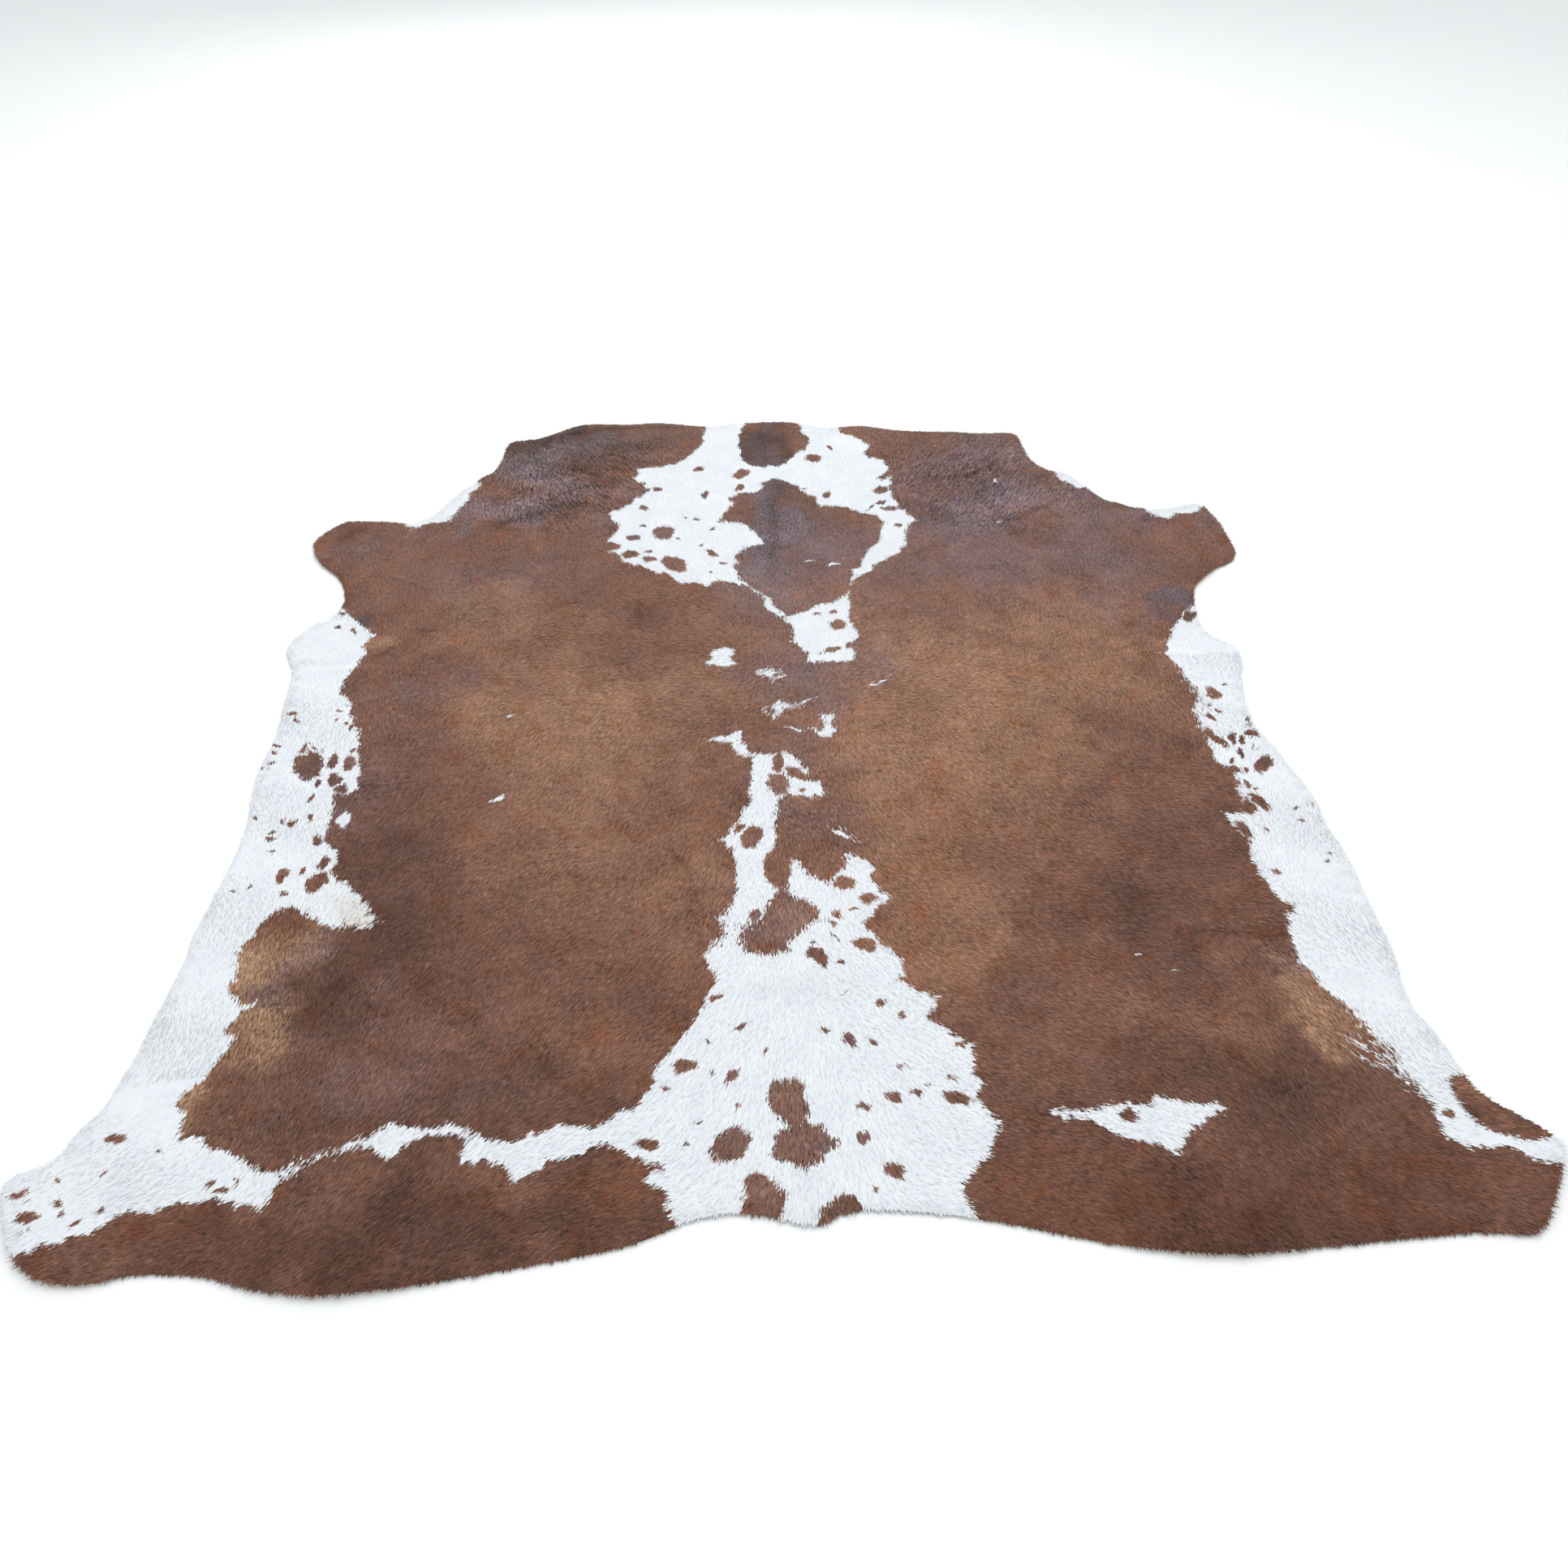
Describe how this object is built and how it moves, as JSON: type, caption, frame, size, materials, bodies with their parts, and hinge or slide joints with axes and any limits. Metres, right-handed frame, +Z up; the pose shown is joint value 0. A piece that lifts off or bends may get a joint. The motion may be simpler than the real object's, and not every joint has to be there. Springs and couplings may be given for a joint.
{
  "type": "cowhide rug",
  "caption": "Whole hair-on cowhide laid flat as a floor rug, with a hand-cut rim, leg stubs, soft neck swells and rippled belly edges.",
  "frame": {"origin": "on the floor under the middle of the rug's box", "axes": "+Z up out of the hair side, +Y along the spine to the neck, +X to the right of the spine seen from above with the neck ahead"},
  "size_m": [2.027, 2.1974, 0.019],
  "materials": {
    "hair": "short lying hair, chestnut brown with white patches, bare suede on the rear"
  },
  "bodies": {
    "root": {"hide": "hair"}
  },
  "joints": []
}
